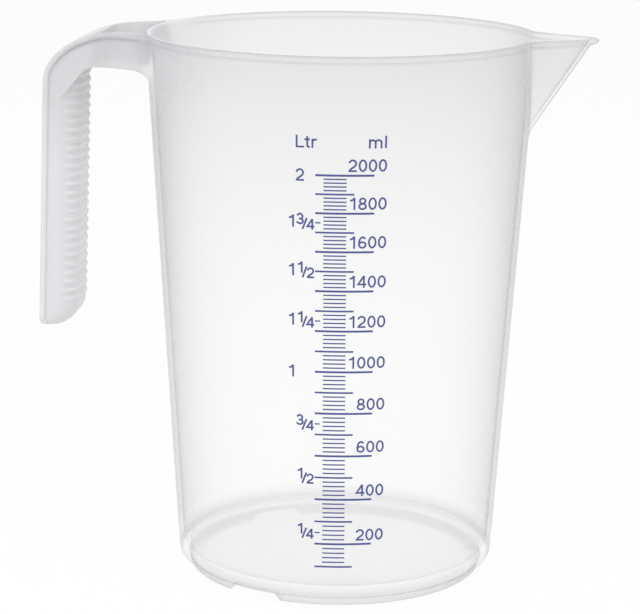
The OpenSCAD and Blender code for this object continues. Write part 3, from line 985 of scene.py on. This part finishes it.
def floor_material(jug):
    """A plain pale floor that shows as white and keeps a soft shadow."""
    look = jug.stage
    material, nodes = new_material("pale_floor")
    lit = nodes.add("BsdfDiffuse", None, {"Color": look.floor_colour})
    white = nodes.add("Emission", None, {"Color": (1, 1, 1), "Strength": 1})
    mixed = nodes.add("MixShader", None, {0: look.white_share * seen(nodes), 1: lit, 2: white})
    nodes.add("OutputMaterial", None, {"Surface": mixed})
    return material


# Each sign is its advance and its strokes, in parts of a number's height. A stroke is a row of points, and
# six numbers stand for an arc: centre, radii, start and end in degrees.
SIGNS = {
    "0": (0.79, [[(0.395, 0.5, 0.262, 0.427, 90, 450)]]),
    "1": (0.79, [[(0.546, 0), (0.546, 1)], [(0.204, 0.755), (0.36, 0.78), (0.46, 0.845), (0.515, 0.95)]]),
    "2": (0.79, [
        [
            (0.39, 0.675, 0.262, 0.252, 174, -30), (0.56, 0.46), (0.45, 0.37), (0.31, 0.28), (0.2, 0.18),
            (0.14, 0.03),
        ],
        [(0.065, 0.073), (0.72, 0.073)],
    ]),
    "3": (0.79, [
        [(0.385, 0.7, 0.225, 0.227, 168, -85)],
        [(0.385, 0.285, 0.262, 0.212, 92, -170)],
        [(0.29, 0.5), (0.42, 0.5)],
    ]),
    "4": (0.79, [[(0.52, 0.94), (0.09, 0.285), (0.75, 0.285)], [(0.55, 0), (0.55, 1)]]),
    "6": (0.79, [[(0.4, 0.3, 0.262, 0.227, 90, 450)], [(0.425, 0.42, 0.287, 0.507, 190, 45)]]),
    "8": (0.79, [[(0.395, 0.72, 0.218, 0.207, 90, 450)], [(0.395, 0.285, 0.265, 0.212, 90, 450)]]),
    "/": (0.34, [[(0, 0), (0.34, 0.92)]]),
    "L": (0.69, [[(0.076, 1), (0.076, 0.073), (0.665, 0.073)]]),
    "t": (0.56, [
        [(0.225, 0.92), (0.225, 0.2), (0.245, 0.12), (0.3, 0.075), (0.43, 0.075)],
        [(0, 0.665), (0.43, 0.665)],
    ]),
    "r": (0.45, [
        [(0.073, 0), (0.073, 0.73)],
        [(0.073, 0.42), (0.1, 0.545), (0.18, 0.635), (0.29, 0.67), (0.42, 0.665)],
    ]),
    "m": (1.282, [
        [(0.076, 0), (0.076, 0.73)],
        [(0.076, 0.4), (0.304, 0.45, 0.228, 0.207, 180, 0), (0.532, 0)],
        [(0.532, 0.4), (0.766, 0.45, 0.234, 0.207, 180, 0), (1, 0)],
    ]),
    "l": (0.146, [[(0.073, 0), (0.073, 1)]]),
}


# Strokes: the degrees of an arc's steps and their least number, and the least share that a mitre divides by.
ARC_STEP = 12
LEAST_STEPS = 6
MITRE_LEAST = 0.5


def stroke_points(stroke):
    """The points of a stroke, with its arcs drawn out."""
    points = []
    for item in stroke:
        if len(item) == 2:
            points.append(item)
        else:
            steps = max(LEAST_STEPS, round(abs(item[5] - item[4]) / ARC_STEP))
            points += arc(*item, steps).tolist()
    return np.array(points)


def ribbon(points, width):
    """Quads along a stroke, each as four points. Its corners are mitred and its ends square."""
    closed = np.linalg.norm(points[0] - points[-1]) < SAME_PLACE
    run = np.diff(points, axis=0)
    run /= np.linalg.norm(run, axis=1)[:, None]
    before = np.concatenate([run[-1:] if closed else run[:1], run])
    after = np.concatenate([run, run[:1] if closed else run[-1:]])
    square = np.stack([-(before + after)[:, 1], (before + after)[:, 0]], -1)
    square /= np.linalg.norm(square, axis=1)[:, None]
    spread = np.sum(square * np.stack([-after[:, 1], after[:, 0]], -1), axis=1)
    side = square * (width / 2 / np.clip(spread, MITRE_LEAST, 1))[:, None]
    left, right = points + side, points - side
    return [(right[i], right[i + 1], left[i + 1], left[i]) for i in range(len(points) - 1)]


def text_width(text, height):
    """How far a text advances."""
    return sum(SIGNS[sign][0] for sign in text) * height


class Print:
    """Ink on the cup's wall: flat signs are gathered, then wrapped round it as one thin film."""

    BEARING = 0.06
    LINE_POINTS = 13

    def __init__(self, jug):
        self.scale, self.cup_form = jug.scale, CupForm(jug)
        self.points, self.faces = [], []

    def put(self, text, start, foot, height):
        """Prints a text. It starts at a distance along the wall and stands at a height on it."""
        quads = []
        for sign in text:
            advance, strokes = SIGNS[sign]
            for stroke in strokes:
                quads += ribbon(stroke_points(stroke) * height + (start, foot), self.scale.stroke)
            start += advance * height
        self.lay(quads, foot + height / 2)

    def line(self, length_along, middle, height):
        """Prints a level line, from the left ends of the scale's lines."""
        along = np.linspace(0, length_along, self.LINE_POINTS)
        self.lay(ribbon(np.column_stack([along, np.full(len(along), middle)]), height), middle)

    def lay(self, quads, middle):
        """Joins overlapping quads to one sheet of ink and lays it on the wall."""
        corners = [Vector(corner) for quad in quads for corner in quad]
        faces = [list(range(4 * i, 4 * i + 4)) for i in range(len(quads))]
        flat, _, triangles, _, _, owners = delaunay_2d_cdt(corners, [], faces, 1, SAME_PLACE)
        self.wrap(flat, [triangle for triangle, owner in zip(triangles, owners) if owner], middle)

    def wrap(self, flat, triangles, middle):
        """Lays flat triangles on the wall and gives them the film's thickness."""
        base, count = len(self.points), len(flat)
        r = self.cup_form.cone(middle)
        for lift in (0, self.scale.film):
            for along, z in flat:
                turn = self.scale.angle + along / r
                out = self.cup_form.cone(z) + lift
                self.points.append((out * math.cos(turn), out * math.sin(turn), z))
        edges = {}
        for triangle in triangles:
            ring = list(triangle)
            self.faces.append([base + count + k for k in ring])
            self.faces.append([base + k for k in reversed(ring)])
            for a, b in zip(ring, ring[1:] + ring[:1]):
                if edges.pop((b, a), None) is None:
                    edges[a, b] = True
        for a, b in edges:
            self.faces.append((base + a, base + b, base + count + b, base + count + a))

    def level(self, millilitres):
        """Height on the wall of a volume."""
        form = self.cup_form
        inside = form.cup.base_radius - self.scale.reckoned_wall
        r = inside + form.slope * form.floor_z
        top = np.cbrt(r**3 + 3 * form.slope * millilitres * MILLILITRE / math.pi)
        return float((top - inside) / form.slope)

    def finish(self, name, ink, *nodes):
        """Makes the print a piece, in place of the nodes named."""
        mesh = bpy.data.meshes.new(name)
        mesh.from_pydata(self.points, [], self.faces)
        mesh.validate()
        mesh.materials.append(ink)
        piece = new_object(name, mesh)
        if nodes:
            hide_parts(*nodes)
        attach(piece, BODY)


class Zones:
    """Where the plastic differs, as values from 0 to 1 at the points of the moulding's mesh; most zones are
    painted light and shade.

    Widths are in millimetres, and so are runs: where a mark starts and how far it takes to grow. The skin,
    which tells the outside of the wall from its inside, is in thicknesses of the wall.
    """

    TOUCH = MM / 10
    SIDE_DEPTH = MM / 4
    SKIN_START = 0.7
    SKIN_RUN = 0.3
    RING_LEAST = 0.35
    CORNER_RUN = (2.5, 3)
    FILLET_SHARE = 0.25
    RIM_SHARE = 0.7
    RIM_RUN = (-0.8, 0.6)
    SHOULDER_SHARE = 0.4
    SHOULDER_WIDTH = 0.35
    SPOUT_SHARE = 0.5
    SPOUT_RUN = (2, 6)
    HANDLE_RUN = (62, 6)
    KEEL_WIDTH = 1.1
    KEEL_RUN = (0.5, 1)
    NIB_SHARE = 0.4
    NIB_RUN = (0.3, 1)
    RAIL_WIDTH = 0.4
    RAIL_LOW = 0.15
    RAIL_GROWTH = 0.25
    ROOT_RUN = (0, 9)
    THIN_RUN = (0, 5)
    VEIL_OUT = (36, 28)
    VEIL_UP = (-15, 30)

    def __init__(self, mesh, form, hook):
        self.mesh, self.form, self.hook = mesh, form, hook
        spots = np.empty(len(mesh.vertices) * 3)
        mesh.vertices.foreach_get("co", spots)
        self.x, self.y, self.z = spots.reshape(-1, 3).T
        self.r = np.hypot(self.x, self.y)
        self.bulge = self.r - form.cone(self.z)
        self.outside = smooth((self.bulge / form.cup.wall + self.SKIN_START) / self.SKIN_RUN)

    def floor(self):
        """The floor's upper face, painted pale as painted light."""
        level = np.abs(self.z - self.form.floor_z) < self.TOUCH
        return level * (self.r < self.form.fillet_x + self.TOUCH) * 1.0

    def foot(self):
        """Painted shade on the foot ring, the corner over it and a little of the fillet inside."""
        form, cup, z = self.form, self.form.cup, self.z
        ring = at_least(self.RING_LEAST, smooth((self.r - form.foot_inner) / cup.foot_wall))
        foot = (1 - rise(z - cup.sole, *self.CORNER_RUN)) * np.where(z > cup.sole, self.outside, ring)
        inside = (1 - self.outside) * (z > form.floor_z - self.TOUCH) * (1 - self.floor())
        fillet = inside * (1 - smooth((z - form.floor_z) / cup.fillet_radius))
        return np.maximum(foot, self.FILLET_SHARE * fillet)

    def deep(self):
        """Painted shade on the rim and in a thin line under the bead's shoulder, weaker round the spout and
        gone at the handle.
        """
        cup = self.form.cup
        up = self.z - cup.height
        spout = self.SPOUT_SHARE * rise(self.bulge, *self.SPOUT_RUN) * (self.x > 0)
        rim = self.RIM_SHARE * rise(up, *self.RIM_RUN)
        shoulder = self.SHOULDER_SHARE * line_near(up + cup.bead_height, self.SHOULDER_WIDTH) * self.outside
        return np.maximum(rim, shoulder) * (1 - spout - rise(-self.x, *self.HANDLE_RUN))

    def keel(self):
        """Painted shade along the spout's keel and at the drip lip at its tip."""
        keel = line_near(self.y, self.KEEL_WIDTH) * rise(self.bulge, *self.KEEL_RUN)
        nib = self.NIB_SHARE * rise(self.bulge - self.form.spout.out, *self.NIB_RUN)
        return np.maximum(keel, nib) * (self.x > 0)

    def rail(self):
        """Painted shade lines along the rail's edges on the handle's sides, stronger higher up, where the
        whole rail darkens too.
        """
        hook, bead = self.hook, self.form.cup.bead_height
        under = hook.under_outer(self.x, self.z)
        side = np.abs(self.y) > hook.half_width(self.x) - self.SIDE_DEPTH
        lines = line_near(under, self.RAIL_WIDTH) + line_near(under - bead, self.RAIL_WIDTH)
        grown = self.RAIL_GROWTH * smooth((self.z - hook.bend_z) / (hook.top - hook.bend_z))
        return side * (lines * (self.RAIL_LOW + grown) + grown * (under < bead))

    def veil(self):
        """Painted light on the cup's inside in front of the arm."""
        return rise(-self.x, *self.VEIL_OUT) * rise(self.z - self.hook.root_z, *self.VEIL_UP)

    def mark(self):
        """Keeps all zones as attributes of the mesh."""
        zones = {
            "floor": self.floor(),
            "foot": self.foot(),
            "deep": self.deep(),
            "keel": self.keel(),
            "outside": self.outside,
            "rail": self.rail(),
            # Painted shade where the arm meets the wall.
            "root": 1 - rise(self.bulge, *self.ROOT_RUN),
            "thin": 1 - rise(self.bulge, *self.THIN_RUN),
            "veil": self.veil(),
        }
        for name, values in zones.items():
            self.mesh.attributes.new(name, "FLOAT", "POINT").data.foreach_set("value", values)


class JUG_OT_moulding(bpy.types.Operator):
    """Builds the jug's one moulding: cup, foot, spout and handle"""

    bl_idname = "jug.moulding"
    bl_label = "Jug moulding"

    SHARP_ANGLE = math.radians(32)

    def execute(self, context):
        jug = context.scene.measuring_jug
        cup_form = CupForm(jug)
        hook = HookForm(jug, cup_form)
        ends = ((0, 0, jug.cup.foot_height), (0, 0, cup_form.floor_z))
        moulding = new_object("jug_moulding", net_mesh("jug_moulding", cup_form.rows(), ends))
        moulding.data.materials.append(wall_plastic(jug))
        handle = new_object("hook", hook.arm())
        combine(handle, hook.grip(), "UNION")
        combine(handle, hook.pocket(), "DIFFERENCE")
        combine(handle, hook.core(), "DIFFERENCE")
        hook_mesh = handle.data
        hook_mesh.materials.clear()
        hook_mesh.materials.append(handle_plastic(jug))
        bpy.data.objects.remove(handle)
        combine(moulding, hook_mesh, "UNION")
        mesh = moulding.data
        with reworked(mesh) as work:
            bmesh.ops.dissolve_degenerate(work, dist=SAME_PLACE, edges=work.edges)
        mesh.shade_smooth()
        mesh.set_sharp_from_angle(angle=self.SHARP_ANGLE)
        Zones(mesh, cup_form, hook).mark()
        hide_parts(*MOULDED_NODES)
        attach(moulding, BODY)
        return {"FINISHED"}


class JUG_OT_scale_lines(bpy.types.Operator):
    """Prints the scale's lines"""

    bl_idname = "jug.scale_lines"
    bl_label = "Scale lines"

    def execute(self, context):
        jug = context.scene.measuring_jug
        ink = ink_material(jug)
        for name in PRINTED_NODES:
            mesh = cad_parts[name].data
            mesh.materials.clear()
            mesh.materials.append(ink)
        coat = Print(jug)
        for volume in range(NUMBER_STEP // 2, FULL, NUMBER_STEP):
            coat.line(jug.scale.middle_length, coat.level(volume), jug.scale.middle_height)
        coat.finish("middle_lines", ink, "scale_100ml_lines")
        return {"FINISHED"}


class JUG_OT_volume_numbers(bpy.types.Operator):
    """Prints the numbers in millilitres over their lines"""

    bl_idname = "jug.volume_numbers"
    bl_label = "Volume numbers"

    def execute(self, context):
        jug = context.scene.measuring_jug
        scale = jug.scale
        coat = Print(jug)
        tall = scale.digit_height
        for volume in range(NUMBER_STEP, FULL + 1, NUMBER_STEP):
            text = str(volume)
            start = scale.volume_right - text_width(text, tall) + coat.BEARING * tall
            coat.put(text, start, coat.level(volume) + scale.volume_lift, tall)
        coat.finish("volume_numbers", bpy.data.materials["printed_ink"])
        return {"FINISHED"}


class JUG_OT_litre_numbers(bpy.types.Operator):
    """Prints the litres and their fractions beside the lines"""

    bl_idname = "jug.litre_numbers"
    bl_label = "Litre numbers"

    # Places in parts of a number's height: how far along from a fraction's start, and how far below its line.
    LONE_DROP = 0.5
    WHOLE_DROP = 0.42
    UPPER_DROP = 0.17
    SLASH_ALONG, SLASH_DROP = 0.56, 0.55
    LOWER_ALONG, LOWER_DROP = 0.86, 0.57
    FRACTIONS = {1: "14", 2: "12", 3: "34"}

    def execute(self, context):
        jug = context.scene.measuring_jug
        scale = jug.scale
        coat = Print(jug)
        tall = scale.digit_height
        for quarters in range(1, FULL // QUARTER + 1):
            z = coat.level(quarters * QUARTER)
            whole, part = divmod(quarters, 4)
            if not part:
                start = scale.litre_left if whole == 1 else scale.sign_left - coat.BEARING * tall
                coat.put(str(whole), start, z - self.LONE_DROP * tall, tall)
                continue
            if whole:
                coat.put(str(whole), scale.litre_left, z - self.WHOLE_DROP * tall, tall)
            upper, lower = self.FRACTIONS[part]
            left = scale.fraction_left
            coat.put(upper, left, z - self.UPPER_DROP * tall, scale.upper_height)
            coat.put("/", left + self.SLASH_ALONG * tall, z - self.SLASH_DROP * tall, tall)
            coat.put(lower, left + self.LOWER_ALONG * tall, z - self.LOWER_DROP * tall, scale.lower_height)
        coat.finish("litre_numbers", bpy.data.materials["printed_ink"])
        return {"FINISHED"}


class JUG_OT_unit_signs(bpy.types.Operator):
    """Prints the unit signs over the two rows of numbers"""

    bl_idname = "jug.unit_signs"
    bl_label = "Unit signs"

    def execute(self, context):
        jug = context.scene.measuring_jug
        scale = jug.scale
        coat = Print(jug)
        tall = scale.digit_height
        coat.put("Ltr", scale.sign_left, scale.sign_foot, tall)
        coat.put("ml", scale.sign_right - text_width("ml", tall), scale.sign_foot, tall)
        coat.finish("unit_signs", bpy.data.materials["printed_ink"])
        return {"FINISHED"}


class JUG_OT_stage(bpy.types.Operator):
    """Sets up the camera, the floor and the light"""

    bl_idname = "jug.stage"
    bl_label = "Stage"

    def execute(self, context):
        scene = context.scene
        jug = scene.measuring_jug
        look = jug.stage
        scene.view_settings.view_transform = "Standard"
        ahead = Vector((-math.sin(look.yaw), math.cos(look.yaw), 0))
        forward = ahead * math.cos(look.pitch) - Vector((0, 0, math.sin(look.pitch)))
        right = Vector((math.cos(look.yaw), math.sin(look.yaw), 0))
        up = right.cross(forward)
        turn = math.cos(look.roll), math.sin(look.roll)
        right, up = right * turn[0] + up * turn[1], up * turn[0] - right * turn[1]
        lens = bpy.data.cameras.new("camera")
        lens.lens = look.focal_length
        lens.sensor_width = SENSOR_WIDTH
        camera = bpy.data.objects.new("camera", lens)
        camera.matrix_world = Matrix((right, up, -forward)).transposed().to_4x4()
        camera.location = look.eye
        scene.collection.objects.link(camera)
        scene.camera = camera

        world = bpy.data.worlds.new("studio")
        world.use_nodes = True
        nodes = Nodes(world.node_tree)
        strength = at_least(look.sky, seen(nodes))
        light = nodes.add("Background", None, {"Color": (1, 1, 1), "Strength": strength})
        nodes.add("OutputWorld", None, {"Surface": light})
        scene.world = world

        disc = bmesh.new()
        bmesh.ops.create_circle(disc, cap_ends=True, radius=look.floor_radius, segments=FLOOR_SIDES)
        mesh = bpy.data.meshes.new("floor")
        disc.to_mesh(mesh)
        disc.free()
        mesh.materials.append(floor_material(jug))
        new_object("floor", mesh)

        for name, place in LAMPS.items():
            lamp = bpy.data.lights.new(name, "AREA")
            lamp.energy, lamp.size = look.lamp_power, look.lamp_size
            holder = bpy.data.objects.new(name, lamp)
            holder.location = place
            aim = Vector(LAMP_AIM) - holder.location
            holder.rotation_euler = aim.to_track_quat("-Z", "Y").to_euler()
            scene.collection.objects.link(holder)
        return {"FINISHED"}


class JUG_PT_panel(bpy.types.Panel):
    """Lists the steps that build the jug"""

    bl_idname = "JUG_PT_panel"
    bl_label = "Measuring jug"
    bl_space_type = "VIEW_3D"
    bl_region_type = "UI"
    bl_category = "Jug"

    def draw(self, context):
        for step in OPERATORS:
            self.layout.operator(step.bl_idname)


OPERATORS = (
    JUG_OT_stage, JUG_OT_moulding, JUG_OT_scale_lines,
    JUG_OT_volume_numbers, JUG_OT_litre_numbers, JUG_OT_unit_signs,
)
CLASSES = (
    CupSizes, SpoutSizes, HandleSizes, ScaleSizes, PlasticLook, InkLook, StageLook, JugSettings,
    *OPERATORS, JUG_PT_panel,
)


def register():
    for each in CLASSES:
        bpy.utils.register_class(each)
    bpy.types.Scene.measuring_jug = PointerProperty(type=JugSettings)


def unregister():
    del bpy.types.Scene.measuring_jug
    for each in reversed(CLASSES):
        bpy.utils.unregister_class(each)


def main():
    register()
    bpy.ops.jug.stage()
    bpy.ops.jug.moulding()
    bpy.ops.jug.scale_lines()
    bpy.ops.jug.volume_numbers()
    bpy.ops.jug.litre_numbers()
    bpy.ops.jug.unit_signs()


if __name__ == "__main__":
    main()
